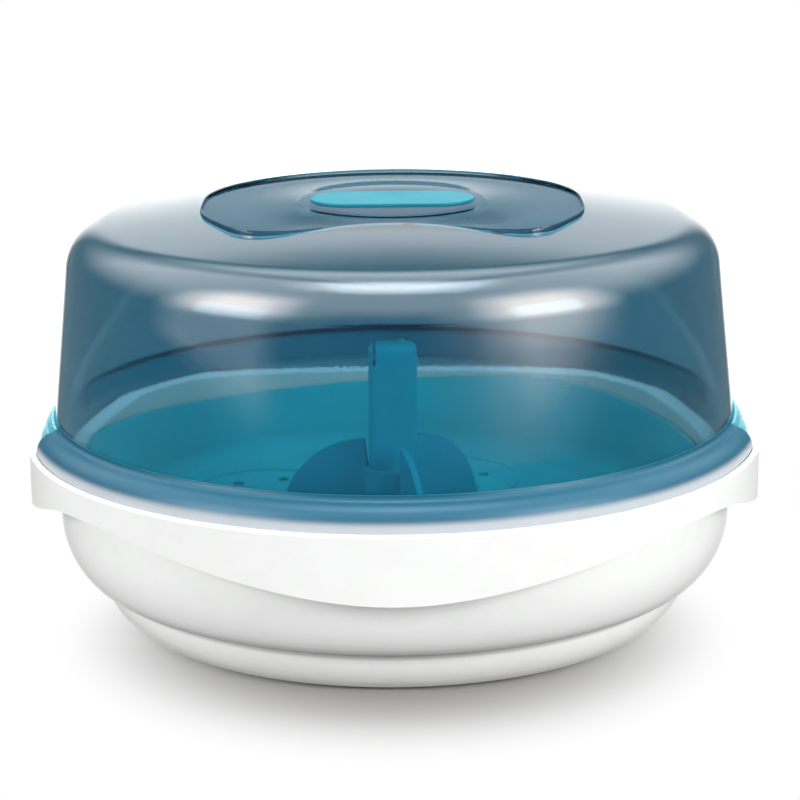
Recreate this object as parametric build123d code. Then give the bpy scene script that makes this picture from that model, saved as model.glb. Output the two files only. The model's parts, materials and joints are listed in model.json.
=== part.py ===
from build123d import *
from math import asin, atan2, cos, degrees, radians, sin, sqrt
import os

# A microwave steam sterilizer for baby bottles: a two-tier bowl with a wavy collar, a clear dome lid,
# two side clips, and a bottle rack with a lifting column.
# Millimetres. The origin is under the middle of the foot, +Z is up and the front is -Y.

# Bowl
bowl_wall = 2.5
foot_height = 1.2
foot_inset = 3.0
foot_width = 6.5
foot_taper = 1.0
lower_tier_radius = 113.1
lower_tier_rise = 14.6
lower_tier_flare = 7.7
lower_tier_start = 43.3
tier_step = 2.0
tier_overhang = 5.7
upper_tier_rise = 21.8
upper_tier_flare = 9.1
upper_tier_start = 60.3
straight_rise = 27.4
bowl_top_drop = 9.8
tier_edge_round = 1.0

# Collar
collar_wall = 2.4
collar_overhang = 11.8
collar_shelf = 8.4
rim_width = 2.3
rim_rise = 0.3
rim_round = 1.0
deck_drop = 1.5
lip_depth = 16.0
dish_margin = 5.7
dish_dip = 7.0
front_dip_reach = 95.0
side_dip_reach = 70.0
seat_thickness = 2.0
seat_depth = 5.0
seat_clearance = 0.15
skirt_front_drop = 24.4
skirt_high_drop = 9.9
skirt_ear_drop = 18.3
skirt_high_reach = 112.0
skirt_turn_drop = 12.0
skirt_back_gap = 1.5
lug_length = 5.0
lug_top_drop = 3.0
lug_bottom_drop = 17.4

# Clips
latch_width = 69.8
latch_end_gap = 0.4
latch_lid_gap = 0.5
latch_collar_inset = 1.1
latch_top_rise = 9.8
latch_top_thickness = 0.9
latch_top_round = 0.4
latch_slope_top = 5.9
latch_shoulder_drop = 10.5
latch_bottom_drop = 20.2
latch_wall = 2.4
barrel_radius = 2.6
barrel_bowl_gap = 0.5
hinge_drop = 14.0
trunnion_radius = 1.9
trunnion_length = 3.3
trunnion_clearance = 0.05
web_thickness = 2.6
grip_rib_radius = 0.55
grip_rib_rises = (6.0, 1.0)

# Lid
lid_wall = 2.2
lid_edge_gap = 0.5
lid_edge_straight = 1.0
lid_shoulder_radius = 7.9
lid_foot_round = 3.0
lid_notch_gap = 0.6
lid_dish_gap = 0.5
lid_height = 90.6
lid_draft = 6.05
crown_radius = 760.0
dome_shoulder_radius = 17.8
panel_drop = 3.3
bead_height = 1.0
bead_width = 0.9
pad_radius = 36.0
pad_offset = 4.0
pad_height = 0.4
badge_length = 62.0
badge_width = 29.0
badge_thickness = 0.8
badge_offset = 6.0

# The skirt's wave between its low front and its high points: share of the reach, share of the rise.
skirt_wave_points = ((0.385, 0.28), (0.69, 0.70))

# Corners of the pressed panel's right half in plan, from back to front: x, y and the rounding radius.
panel_corners = [(29.9, 73.5, 70), (70.5, 33, 64), (70.5, -24.5, 60), (50.5, -67.8, 17), (0, -43.7, 49)]

# Rack
tray_gap = 0.8
tray_wall = 2.0
tray_foot_height = 3.7
tray_foot_thickness = 2.8
tray_foot_inset = 1.2
tray_corner_radius = 12.0
tray_rim_drop = 4.6
tray_rim_wave = 6.8
tray_rim_angle = 55.0
drain_notch_width = 14.0
drain_notch_height = 2.6
seat_circle_radius = 73.0
seat_ring_radius = 33.0
seat_ring_width = 1.2
seat_ring_height = 0.6
steam_hole_radius = 2.5
steam_hole_circle = 19.0
seats = 6
holes_per_seat = 6

# Divider hub
fins = 3
fin_angle = 45.0
fin_thickness = 2.2
fin_reach = 46.0
fin_height = 36.0
fin_crest_reach = 10.0
fin_root = 2.0
fin_slit_lean = 1.2
hub_radius = 20.0
hub_thickness = 2.2
socket_radius = 11.9
socket_height = 25.5
peg_radius = 2.5
peg_clearance = 0.1
peg_circle = 16.0

# Column
column_width = 18.4
column_depth = 12.0
column_flare = 0.8
column_offset = -0.4
column_top_rise = 33.6
column_corner = 3.0
column_top_round = 3.4
column_wall = 2.2
column_cap = 10.0
column_fit = 0.15
tongue_width = 1.7
tongue_slit = 1.1
tongue_length = 8.0
thumb_bump_radius = 2.4
thumb_bump_rise = 0.8
thumb_bump_offset = 3.0
thumb_bump_length = 6.0

# Heights and radii that follow from the sizes above
lower_tier_top = foot_height + lower_tier_rise
upper_tier_bottom = lower_tier_top + tier_step
upper_tier_top = upper_tier_bottom + upper_tier_rise
edge_height = upper_tier_top + straight_rise
bowl_top = edge_height - bowl_top_drop
ledge_height = upper_tier_bottom + bowl_wall
bowl_radius = lower_tier_radius + tier_overhang + upper_tier_flare
foot_radius = lower_tier_radius - lower_tier_flare - foot_inset
collar_radius = bowl_radius + collar_overhang
opening_radius = bowl_radius - collar_shelf
deck_height = edge_height - deck_drop
dish_radius = collar_radius - dish_margin
lid_edge_radius = collar_radius - rim_width - lid_edge_gap
lid_foot_radius = lid_edge_radius - lid_shoulder_radius
lid_top = edge_height + lid_height
roll_height = edge_height + lid_edge_straight
roll_top = roll_height + lid_shoulder_radius
panel_height = lid_top - panel_drop
hinge_x = bowl_radius + barrel_bowl_gap + barrel_radius
hinge_z = edge_height - hinge_drop
latch_half = latch_width / 2
ear_half = latch_half + latch_end_gap
tray_radius = opening_radius - tray_gap
tray_bottom = ledge_height + tray_foot_height
tray_floor = tray_bottom + tray_wall
hub_top = tray_floor + hub_thickness
column_top = edge_height + column_top_rise
far = 2 * collar_radius
cut_margin = 1.0


def in_section(edges):
    """Place edges drawn as (radius, height) in the upright plane through the axis."""
    return [Plane.XZ * edge for edge in edges]


def turned(edges):
    """Turn a closed outline of (radius, height) edges about the Z axis."""
    return revolve(make_face(in_section(edges)), Axis.Z)


def turned_polygon(points):
    """Turn a closed polygon of (radius, height) points about the Z axis."""
    return turned([Polyline(*points, close=True)])


def ring(inner, outer, bottom, top):
    """A plain ring between two radii and two heights."""
    return turned_polygon([(inner, bottom), (outer, bottom), (outer, top), (inner, top)])


def disc(radius, bottom, top):
    """A plain disc standing on the axis."""
    return Pos(0, 0, bottom) * extrude(Circle(radius), top - bottom)


def block(x_low, x_high, y_low, y_high, z_low, z_high):
    """A box given by its limits."""
    centre = Pos((x_low + x_high) / 2, (y_low + y_high) / 2, (z_low + z_high) / 2)
    return centre * Box(x_high - x_low, y_high - y_low, z_high - z_low)


def around(count, start=0.0):
    """Evenly spaced turns about the Z axis."""
    return [Rot(0, 0, start + index * 360 / count) for index in range(count)]


def both_sides(shape):
    """A shape at +X with its mirror image at -X."""
    return shape + mirror(shape, about=Plane.YZ)


def arc_radius(half_chord, rise):
    """Radius of the arc that rises by rise over half_chord."""
    return (half_chord**2 + rise**2) / (2 * rise)


def circle_edges(part, radius, height):
    """The round edges of a part at one radius and height."""
    found = part.edges().filter_by(GeomType.CIRCLE)
    return [e for e in found if abs(e.radius - radius) < 0.01 and abs(e.center().Z - height) < 0.01]


# Bowl


def tier_curve(radius, top, rise, flare, start, inset, bottom):
    """Elliptical wall of one tier, from its foot at bottom up to its widest point at top."""
    height = rise / sin(radians(start)) - inset
    width = flare / (1 - cos(radians(start))) - inset
    centre = (radius - inset - width, top)
    turn = degrees(asin((top - bottom) / height))
    return EllipticalCenterArc(centre, width, height, start_angle=-turn, arc_size=turn)


def bowl_outline(inset, top):
    """Closed half section of the bowl, with every wall moved in by inset."""
    floor = foot_height + inset
    ledge = upper_tier_bottom + inset
    lower = tier_curve(
        lower_tier_radius, lower_tier_top, lower_tier_rise, lower_tier_flare, lower_tier_start, inset, floor
    )
    upper = tier_curve(
        bowl_radius, upper_tier_top, upper_tier_rise, upper_tier_flare, upper_tier_start, inset, ledge
    )
    step_inner = (lower_tier_radius - inset, ledge)
    wall_top = (bowl_radius - inset, top)
    return [
        Line((0, floor), lower @ 0),
        lower,
        Line(lower @ 1, step_inner),
        Line(step_inner, upper @ 0),
        upper,
        Line(upper @ 1, wall_top),
        Line(wall_top, (0, top)),
        Line((0, top), (0, floor)),
    ]


def make_bowl():
    """Two-tier bowl with a thin foot ring."""
    outer = turned(bowl_outline(0, bowl_top))
    inner = turned(bowl_outline(bowl_wall, bowl_top + bowl_wall))
    foot_inner = foot_radius - foot_width
    foot = turned_polygon([
        (foot_inner + foot_taper, 0),
        (foot_radius - foot_taper, 0),
        (foot_radius, foot_height),
        (foot_radius, foot_height + bowl_wall / 2),
        (foot_inner, foot_height + bowl_wall / 2),
        (foot_inner, foot_height),
    ])
    bowl = outer - inner + foot
    tier_edge = bowl_radius - upper_tier_flare
    return fillet(circle_edges(bowl, tier_edge, upper_tier_bottom), tier_edge_round)


# Collar


def dish(radius, drop):
    """The space above the dipped deck: it falls to the front and back and to the two sides."""
    front_radius = arc_radius(front_dip_reach, dish_dip)
    side_radius = arc_radius(side_dip_reach, dish_dip)
    lowest = edge_height - dish_dip - drop
    front = Pos(0, 0, lowest + front_radius) * Cylinder(front_radius, far, rotation=(90, 0, 0))
    sides = Pos(0, 0, lowest + side_radius) * Cylinder(side_radius, far, rotation=(0, 90, 0))
    space = disc(radius, lowest - cut_margin, edge_height + cut_margin)
    return (space & front) + (space & sides)


def collar_blank(inset, bottom):
    """Solid ring under the deck, with its walls and dished top moved in by inset."""
    outside = ring(opening_radius + inset, collar_radius - inset, bottom, deck_height - inset)
    return outside - dish(dish_radius + inset, inset)


def skirt_wave():
    """The space under the skirt's wavy lower edge, seen from the front."""
    ear_x = hinge_x + barrel_radius + collar_wall / 2
    end_x = collar_radius + cut_margin
    fall = skirt_front_drop - skirt_high_drop
    right = [
        (reach * skirt_high_reach, rise * fall - skirt_front_drop) for reach, rise in skirt_wave_points
    ]
    right += [
        (skirt_high_reach, -skirt_high_drop),
        ((skirt_high_reach + ear_x) / 2, -skirt_turn_drop),
        (ear_x, -skirt_ear_drop),
        (end_x, -skirt_ear_drop - cut_margin),
    ]
    left = [(-x, z) for x, z in reversed(right)]
    edge = Spline(*left, (0, -skirt_front_drop), *right)
    floor_drop = -2 * skirt_front_drop
    corners = [edge @ 1, (end_x, floor_drop), (-end_x, floor_drop), edge @ 0]
    face = make_face(in_section([edge, Polyline(*corners)]))
    prism = Pos(0, 0, edge_height) * extrude(face, far, both=True)
    return prism - disc(bowl_radius + seat_thickness + skirt_back_gap, 0, edge_height)


def make_lugs():
    """Solid blocks in the ears that the trunnions turn in."""
    lug = block(
        bowl_radius + barrel_bowl_gap, collar_radius, ear_half, ear_half + lug_length,
        edge_height - lug_bottom_drop, edge_height - lug_top_drop,
    )
    lugs = lug + mirror(lug, about=Plane.XZ)
    lugs = lugs & disc(collar_radius - collar_wall / 2, 0, edge_height)
    return both_sides(lugs)


def trunnion_bores():
    """Blind holes in the ears for the clips' trunnions."""
    length = 2 * (ear_half + trunnion_length)
    bore = Cylinder(trunnion_radius + trunnion_clearance, length, rotation=(90, 0, 0))
    return both_sides(Pos(hinge_x, 0, hinge_z) * bore)


def make_collar():
    """Hollow collar: dished deck, wavy skirt, inner lip, groove for the bowl and lugs in the ears."""
    bottom = edge_height - skirt_front_drop - cut_margin
    seat_inner = bowl_radius - bowl_wall - seat_thickness
    seat_outer = bowl_radius + seat_thickness
    seat_bottom = bowl_top - seat_depth
    seat = ring(seat_inner, seat_outer, seat_bottom, edge_height)
    hollow = collar_blank(collar_wall, bottom - cut_margin) - seat
    collar = collar_blank(0, bottom) - hollow
    rim = ring(collar_radius - rim_width, collar_radius, deck_height - collar_wall, edge_height + rim_rise)
    rim = fillet(circle_edges(rim, collar_radius, edge_height + rim_rise), rim_round)
    rim = fillet(circle_edges(rim, collar_radius - rim_width, edge_height + rim_rise), rim_round / 2)
    collar = collar + rim
    lip_end = edge_height - lip_depth
    lip_outer = seat_inner - seat_clearance
    collar = collar - ring(opening_radius - cut_margin, lip_outer, bottom - cut_margin, lip_end)
    lip_outer = seat_inner - 2 * seat_clearance
    collar = collar - ring(lip_outer, seat_outer + seat_clearance, bottom - cut_margin, seat_bottom)
    groove = ring(
        bowl_radius - bowl_wall - seat_clearance, bowl_radius + seat_clearance, bottom, bowl_top
    )
    collar = collar - groove - skirt_wave()
    ear_inner = bowl_radius + seat_clearance
    opening = block(0, far, -ear_half, ear_half, bottom - cut_margin, edge_height + rim_rise + cut_margin)
    opening = opening - disc(ear_inner, 0, lid_top)
    return collar - both_sides(opening) + make_lugs() - trunnion_bores()


# Clips


def make_latch():
    """One clip at +X: curved plate with grip ribs, hinge barrel, web and trunnions."""
    inner = lid_foot_radius + latch_lid_gap
    outer = collar_radius - latch_collar_inset
    top = edge_height + latch_top_rise
    shoulder = edge_height - latch_shoulder_drop
    nub_radius = latch_wall / 2
    nub_centre = edge_height - latch_bottom_drop + nub_radius
    slope_top = edge_height + latch_slope_top
    path = [
        (outer - latch_wall, nub_centre),
        (outer - latch_wall, shoulder),
        (inner, slope_top),
        (inner, top),
        (inner + latch_top_thickness, top),
        (outer, shoulder),
        (outer, nub_centre),
    ]
    nub = ThreePointArc(path[-1], (outer - nub_radius, nub_centre - nub_radius), path[0])
    plate = turned([Polyline(*path), nub])
    plate = fillet(circle_edges(plate, inner + latch_top_thickness, top), latch_top_round)
    for rise in grip_rib_rises:
        share = (latch_top_rise - rise) / (latch_top_rise + latch_shoulder_drop)
        rib_radius = inner + latch_top_thickness + share * (outer - inner - latch_top_thickness)
        plate = plate + Pos(0, 0, edge_height + rise) * Torus(rib_radius, grip_rib_radius)
    plate = plate & block(0, far, -latch_half, latch_half, 0, lid_top)
    barrel = Pos(hinge_x, 0, hinge_z) * Cylinder(barrel_radius, latch_width, rotation=(90, 0, 0))
    web = block(
        hinge_x, outer, -latch_half, latch_half, hinge_z - web_thickness / 2, hinge_z + web_thickness / 2
    )
    web = web & disc(outer - latch_wall / 2, 0, edge_height)
    trunnions = Pos(hinge_x, 0, hinge_z) * Cylinder(
        trunnion_radius, 2 * (latch_half + trunnion_length), rotation=(90, 0, 0)
    )
    return plate + web + barrel + trunnions


# Lid


def lid_outline(inset):
    """Closed half section of the dome, with every wall moved in by inset."""
    slope = radians(lid_draft)
    wall_distance = lid_foot_radius * cos(slope) + roll_top * sin(slope)
    crown_centre = lid_top - crown_radius
    reach = crown_radius - dome_shoulder_radius
    turn = asin((wall_distance - dome_shoulder_radius - crown_centre * sin(slope)) / reach) - slope
    shoulder_centre = (reach * sin(turn), crown_centre + reach * cos(turn))
    crown = CenterArc((0, crown_centre), crown_radius - inset, 90, -degrees(turn))
    shoulder = CenterArc(
        shoulder_centre, dome_shoulder_radius - inset, 90 - degrees(turn), lid_draft - 90 + degrees(turn)
    )
    out = lid_shoulder_radius * sin(slope) + lid_foot_round
    up = sqrt((lid_shoulder_radius + lid_foot_round) ** 2 - out**2)
    foot_x = out * cos(slope) - up * sin(slope)
    foot_z = out * sin(slope) + up * cos(slope)
    foot_turn = degrees(atan2(foot_z, foot_x))
    foot = CenterArc(
        (lid_foot_radius + foot_x, roll_height + foot_z), lid_foot_round + inset,
        180 + lid_draft, foot_turn - lid_draft,
    )
    roll = CenterArc((lid_foot_radius, roll_height), lid_shoulder_radius - inset, 0, foot_turn)
    edge_foot = (lid_edge_radius - inset, deck_height)
    return [
        crown,
        shoulder,
        Line(shoulder @ 1, foot @ 0),
        foot,
        roll,
        Line(roll @ 0, edge_foot),
        Line(edge_foot, (0, deck_height)),
        Line((0, deck_height), crown @ 0),
    ]


def roll_section():
    """The solid quarter round under the lid's rolled edge."""
    roll = CenterArc((lid_foot_radius, roll_height), lid_shoulder_radius, 0, 90)
    inner = lid_foot_radius - lid_wall
    return [
        roll,
        Line(roll @ 1, (inner, roll_top)),
        Line((inner, roll_top), (inner, deck_height)),
        Line((inner, deck_height), (lid_edge_radius, deck_height)),
        Line((lid_edge_radius, deck_height), roll @ 0),
    ]


def domed(inset):
    """Solid dome, with its walls moved in by inset."""
    return turned(lid_outline(inset))


def panel_outline():
    """The kidney-shaped outline of the pressed panel in plan."""
    left = [(-x, y, radius) for x, y, radius in reversed(panel_corners[:-1])]
    corners = panel_corners + left
    face = make_face(Polyline(*[(x, y) for x, y, radius in corners], close=True))
    for x, y, radius in corners:
        face = fillet(face.vertices().sort_by_distance((x, y, 0))[0], radius)
    return face


def make_lid():
    """Clear dome with a rolled edge, notches for the clips, a lip into the dished deck and a beaded panel."""
    dome = domed(0)
    panel = panel_height
    plan = panel_outline()
    hollow = domed(lid_wall) - disc(far, panel - lid_wall, lid_top)
    lid = dome - hollow - Pos(0, 0, panel) * extrude(plan, lid_height)
    bead = extrude(offset(plan, bead_width) - plan, lid_wall / 2 + bead_height)
    bead = Pos(0, 0, panel - lid_wall / 2) * bead
    pad = Pos(0, pad_offset, 0) * disc(pad_radius, panel - lid_wall / 2, panel + pad_height)
    lid = lid + bead + pad
    notch_half = latch_half + lid_notch_gap
    cut = block(0, far, -notch_half, notch_half, deck_height - cut_margin, roll_top + lid_foot_round)
    cut = cut - disc(lid_foot_radius, 0, lid_top)
    end = turned(roll_section()) & block(0, far, notch_half, notch_half + lid_wall, 0, lid_top)
    ends = end + mirror(end, about=Plane.XZ)
    wall_inner = lid_foot_radius - lid_wall
    inner_wall = ring(wall_inner, lid_foot_radius, deck_height, roll_top)
    lip = ring(wall_inner, lid_foot_radius, edge_height - 2 * dish_dip, edge_height)
    lip = lip & dish(dish_radius, -lid_dish_gap)
    return lid - both_sides(cut) + both_sides(ends) + inner_wall + lip


def make_badge():
    """Plain capsule plate on the crown's pad."""
    bottom = panel_height + pad_height
    plate = Pos(0, badge_offset, bottom) * extrude(SlotOverall(badge_length, badge_width), badge_thickness)
    return fillet(plate.faces().sort_by(Axis.Z)[-1].edges(), badge_thickness / 2)


# Rack


def rim_wave():
    """The space over the tray's three low stretches of rim."""
    half_chord = tray_radius * sin(radians(180 / fins))
    wave_radius = arc_radius(half_chord, tray_rim_wave)
    lowest = edge_height - tray_rim_drop - tray_rim_wave
    inner_end = tray_radius * cos(radians(180 / fins)) - tray_corner_radius
    length = tray_radius + cut_margin - inner_end
    bar = Pos(inner_end + length / 2, 0, lowest + wave_radius)
    bar = bar * Cylinder(wave_radius, length, rotation=(0, 90, 0))
    bar = bar & disc(tray_radius + cut_margin, lowest - cut_margin, edge_height)
    waves = [turn * bar for turn in around(fins, tray_rim_angle + 180 / fins)]
    return waves[0] + waves[1] + waves[2]


def tray_outline(inset, top):
    """Closed half section of the tray, with its walls moved in by inset."""
    floor = tray_bottom + inset
    wall = tray_radius - inset
    corner = tray_corner_radius - inset
    bend = CenterArc((wall - corner, floor + corner), corner, -90, 90)
    return [
        Line((0, floor), bend @ 0),
        bend,
        Line(bend @ 1, (wall, top)),
        Line((wall, top), (0, top)),
        Line((0, top), (0, floor)),
    ]


def seat_holes():
    """Steam holes under the bottle seats."""
    hole = disc(steam_hole_radius, tray_bottom - cut_margin, tray_floor + seat_ring_height + cut_margin)
    holes = []
    for turn in around(seats, fin_angle + 180 / seats):
        seat = turn * Pos(seat_circle_radius, 0, 0)
        holes.append(seat * hole)
        holes += [seat * spot * Pos(steam_hole_circle, 0, 0) * hole for spot in around(holes_per_seat)]
    return holes


def hub_pegs(radius, bottom, top):
    """Pegs, or their holes, that hold the hub on the tray."""
    return [turn * Pos(peg_circle, 0, 0) * disc(radius, bottom, top) for turn in around(fins, fin_angle + 60)]


def make_tray():
    """Bottle tray with a wavy rim, seat rings, steam holes and a notched foot on the bowl's ledge."""
    rim_top = edge_height - tray_rim_drop
    inner_space = turned(tray_outline(tray_wall, rim_top + cut_margin))
    foot_inner = lower_tier_radius - bowl_wall + tray_foot_inset
    foot_outer = foot_inner + tray_foot_thickness
    foot = ring(foot_inner, foot_outer, ledge_height, tray_bottom + tray_corner_radius)
    drain = block(0, far, -drain_notch_width / 2, drain_notch_width / 2, 0, ledge_height + drain_notch_height)
    for turn in around(seats):
        foot = foot - turn * drain
    tray = turned(tray_outline(0, rim_top)) - rim_wave() + foot - inner_space
    seat_ring = ring(
        seat_ring_radius - seat_ring_width / 2, seat_ring_radius + seat_ring_width / 2,
        tray_floor - tray_wall / 2, tray_floor + seat_ring_height,
    )
    for turn in around(seats, fin_angle + 180 / seats):
        tray = tray + turn * Pos(seat_circle_radius, 0, 0) * seat_ring
    tray = tray - seat_holes()
    return tray - hub_pegs(peg_radius + peg_clearance, tray_bottom - cut_margin, tray_floor + cut_margin)


def fin_plate():
    """One fin: an upright plate whose top falls away in a quarter ellipse."""
    half_width = fin_reach - fin_crest_reach
    slit_top = socket_radius
    socket_top = tray_floor + socket_height
    crest = sqrt(1 - ((slit_top - fin_crest_reach) / half_width) ** 2) * fin_height
    turn = degrees(asin(crest / fin_height))
    curve = EllipticalCenterArc(
        (fin_crest_reach, tray_floor), half_width, fin_height, start_angle=0, arc_size=turn
    )
    foot = slit_top - fin_slit_lean
    root = foot - fin_root
    face = make_face(in_section([
        curve,
        Line(curve @ 1, (foot, socket_top)),
        Polyline((foot, socket_top), (root, socket_top), (root, tray_floor), (fin_reach, tray_floor)),
    ]))
    return extrude(face, fin_thickness / 2, both=True)


def column_section(fit, flare):
    """Rounded oblong of the column, grown by a fit all round and by a flare in width."""
    width = column_width + flare + 2 * fit
    return Pos(column_offset, 0, 0) * RectangleRounded(width, column_depth + 2 * fit, column_corner)


def column_body(fit, bottom, top):
    """Slightly flared solid of the column between two heights."""
    low = Pos(0, 0, bottom) * column_section(fit, column_flare)
    high = Pos(0, 0, top) * column_section(fit, 0)
    return loft([low, high])


def make_hub():
    """Hub with three fins, a socket for the column and pegs into the tray."""
    hub = disc(hub_radius, tray_floor, hub_top)
    hub = hub + disc(socket_radius, hub_top, tray_floor + socket_height)
    for turn in around(fins, fin_angle):
        hub = hub + turn * fin_plate()
    hub = hub + hub_pegs(peg_radius, tray_bottom, hub_top)
    return hub - column_body(column_fit, hub_top, column_top)


def make_column():
    """Hollow column with a springy tongue and a thumb bump at its top."""
    body = column_body(0, hub_top, column_top)
    body = fillet(body.faces().sort_by(Axis.Z)[-1].edges().filter_by(Axis.Y), column_top_round)
    hollow_width = column_width - 2 * column_wall
    hollow_section = RectangleRounded(hollow_width, column_depth - 2 * column_wall, column_corner / 2)
    hollow = Pos(column_offset, 0, hub_top) * extrude(hollow_section, column_top - column_cap - hub_top)
    left = column_offset - column_width / 2
    slit = block(
        left + tongue_width, left + tongue_width + tongue_slit, -column_depth, column_depth,
        column_top - tongue_length, column_top + cut_margin,
    )
    bump = Pos(thumb_bump_offset, 0, column_top + thumb_bump_rise - thumb_bump_radius)
    bump = bump * Cylinder(thumb_bump_radius, thumb_bump_length, rotation=(90, 0, 0))
    return body + bump - hollow - slit


latch_right = make_latch()
nodes = {
    "base_bowl": make_bowl(),
    "rim_collar": make_collar(),
    "lid_dome": make_lid(),
    "lid_badge": make_badge(),
    "latch_right": latch_right,
    "latch_left": mirror(latch_right, about=Plane.YZ),
    "rack_tray": make_tray(),
    "divider_hub": make_hub(),
    "lift_column": make_column(),
}

os.makedirs("parts", exist_ok=True)
for name, shape in nodes.items():
    export_step(shape, f"parts/{name}.step")
    print(name, round(shape.volume / 1000, 1), "cm3")
print("clip hinges at x", round(hinge_x, 2), "z", round(hinge_z, 2), "tray floor at z", round(tray_floor, 2))
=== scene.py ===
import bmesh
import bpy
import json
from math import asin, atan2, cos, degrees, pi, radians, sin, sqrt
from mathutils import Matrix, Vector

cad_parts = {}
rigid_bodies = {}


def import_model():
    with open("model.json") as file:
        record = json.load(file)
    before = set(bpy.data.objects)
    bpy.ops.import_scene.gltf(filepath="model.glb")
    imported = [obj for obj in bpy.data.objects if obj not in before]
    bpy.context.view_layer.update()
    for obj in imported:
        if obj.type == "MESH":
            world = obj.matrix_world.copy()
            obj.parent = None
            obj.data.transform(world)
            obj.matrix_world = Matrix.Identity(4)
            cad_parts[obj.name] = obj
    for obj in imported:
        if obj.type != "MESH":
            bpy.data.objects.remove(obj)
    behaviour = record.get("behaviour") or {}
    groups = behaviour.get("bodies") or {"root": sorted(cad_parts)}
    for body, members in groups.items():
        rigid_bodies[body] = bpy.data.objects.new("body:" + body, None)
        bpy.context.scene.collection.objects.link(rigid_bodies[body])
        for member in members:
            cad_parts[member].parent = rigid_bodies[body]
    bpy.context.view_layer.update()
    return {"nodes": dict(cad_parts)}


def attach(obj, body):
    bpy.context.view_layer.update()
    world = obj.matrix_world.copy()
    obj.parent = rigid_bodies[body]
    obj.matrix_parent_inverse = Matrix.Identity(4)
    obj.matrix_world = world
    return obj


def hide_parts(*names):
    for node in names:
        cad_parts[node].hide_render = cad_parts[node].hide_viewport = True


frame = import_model()

# %% [markdown]
# # A microwave steam sterilizer
# The frame above brings in the engineering model of the sterilizer: a white bowl and collar, a clear
# dome lid with two teal clips, and a teal bottle rack. This file dresses it: it sets up the studio,
# models again the pieces that light passes through or that show large soft highlights, and gives
# every piece its finish. Lengths are metres. The foot stands at z = 0, and the front faces -Y.

for old in list(bpy.data.objects):
    if old.type in {"CAMERA", "LIGHT"}:
        bpy.data.objects.remove(old)

# %% [markdown]
# ## Camera
# The photograph was taken from about 0.9 m away and a little above, so the camera looks down by
# about 14 degrees. A long lens keeps the walls upright. The object leans by a fraction of a degree
# in the picture, which is a small roll of the camera. A camera could also be aimed with a Track To
# constraint, but a matrix of a place and two turns says exactly where it stands.

# %% Camera at the photograph's angle
CAMERA_PLACE = (0, -0.908, 0.3113)
LOOK_DOWN = radians(14.42)
CAMERA_LEAN = radians(-0.5)
camera_data = bpy.data.cameras.new("photo_camera")
camera_data.lens = 110.0
camera_data.sensor_width = 36.0
camera_data.shift_x = 0.0075
camera_data.clip_end = 50.0
camera = bpy.data.objects.new("photo_camera", camera_data)
bpy.context.scene.collection.objects.link(camera)
camera.matrix_world = (
    Matrix.Translation(CAMERA_PLACE)
    @ Matrix.Rotation(pi / 2 - LOOK_DOWN, 4, "X")
    @ Matrix.Rotation(CAMERA_LEAN, 4, "Z")
)
bpy.context.scene.camera = camera
print("camera at", CAMERA_PLACE, "with a lens of", camera_data.lens, "mm")

# %% [markdown]
# ## Helpers for shader nodes
# Light and finishes are built here from measured values such as a height or a direction, and each
# sum or soft step on them is one node. In the node editor they would be placed by hand. Two helpers
# keep that readable in a script: they add a node to the tree that `nodes` and `links` last named.

# %% Node helpers
def compute(operation, *values):
    """A Math node; each value is a number or another node's output."""
    node = nodes.new("ShaderNodeMath")
    node.operation = operation
    for socket, value in zip(node.inputs, values):
        if isinstance(value, (int, float)):
            socket.default_value = value
        else:
            links.new(value, socket)
    return node.outputs[0]


def fade(value, start, end, top=1.0):
    """A smooth step from 0 at start to top at end."""
    node = nodes.new("ShaderNodeMapRange")
    node.interpolation_type = "SMOOTHSTEP"
    node.inputs["From Min"].default_value = start
    node.inputs["From Max"].default_value = end
    node.inputs["To Max"].default_value = top
    links.new(value, node.inputs["Value"])
    return node.outputs["Result"]


print("helpers:", compute.__doc__, fade.__doc__)

# %% [markdown]
# ## White floor
# A product photographer puts such an object on a white sweep, a sheet that runs on from the floor
# up behind it. The sheet is pure white in the picture and shows only a soft shadow. One plain white
# material would throw so much light back at the bowl that its two tiers couldn't be told apart. So
# the floor is dim paper under the object, a painted shadow that deepens the cast shadow there, and
# glows by itself further out: white to the camera, less bright to the surfaces that it lights, and
# not there for reflections, which look past it at the room.

# %% Floor and its paper
# Painted shadow: the paper under the object is dark grey, so the cast shadow there reads darker.
PAPER_SHADOW_GREY = 0.27
bpy.ops.object.select_all(action="DESELECT")
bpy.ops.mesh.primitive_circle_add(vertices=128, radius=6.0, fill_type="NGON", location=(0, 0, 0))
floor = bpy.context.object
floor.name = "studio_floor"
floor_material = bpy.data.materials.new("studio_white")
floor_material.use_nodes = True
nodes, links = floor_material.node_tree.nodes, floor_material.node_tree.links
paper = nodes["Principled BSDF"]
paper.inputs["Base Color"].default_value = (PAPER_SHADOW_GREY, PAPER_SHADOW_GREY, PAPER_SHADOW_GREY, 1)
paper.inputs["Roughness"].default_value = 0.9
floor.data.materials.append(floor_material)
print("floor of", len(floor.data.vertices), "points")

# %% Where the paper ends
# The dim paper is a painted shadow where the soft cast shadow lies, mostly in front, so distances
# count from a point in front of the middle.
PAPER_END, SWEEP_START = 0.062, 0.135
moved = nodes.new("ShaderNodeVectorMath")
moved.operation = "MULTIPLY_ADD"
moved.inputs[1].default_value = (1.05, 1, 1)
moved.inputs[2].default_value = (0, 0.04, 0)
links.new(nodes.new("ShaderNodeTexCoord").outputs["Object"], moved.inputs[0])
distance = nodes.new("ShaderNodeVectorMath")
distance.operation = "LENGTH"
links.new(moved.outputs["Vector"], distance.inputs[0])
beyond = fade(distance.outputs["Value"], PAPER_END, SWEEP_START)
print("paper fades out from", PAPER_END, "to", SWEEP_START)

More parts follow.
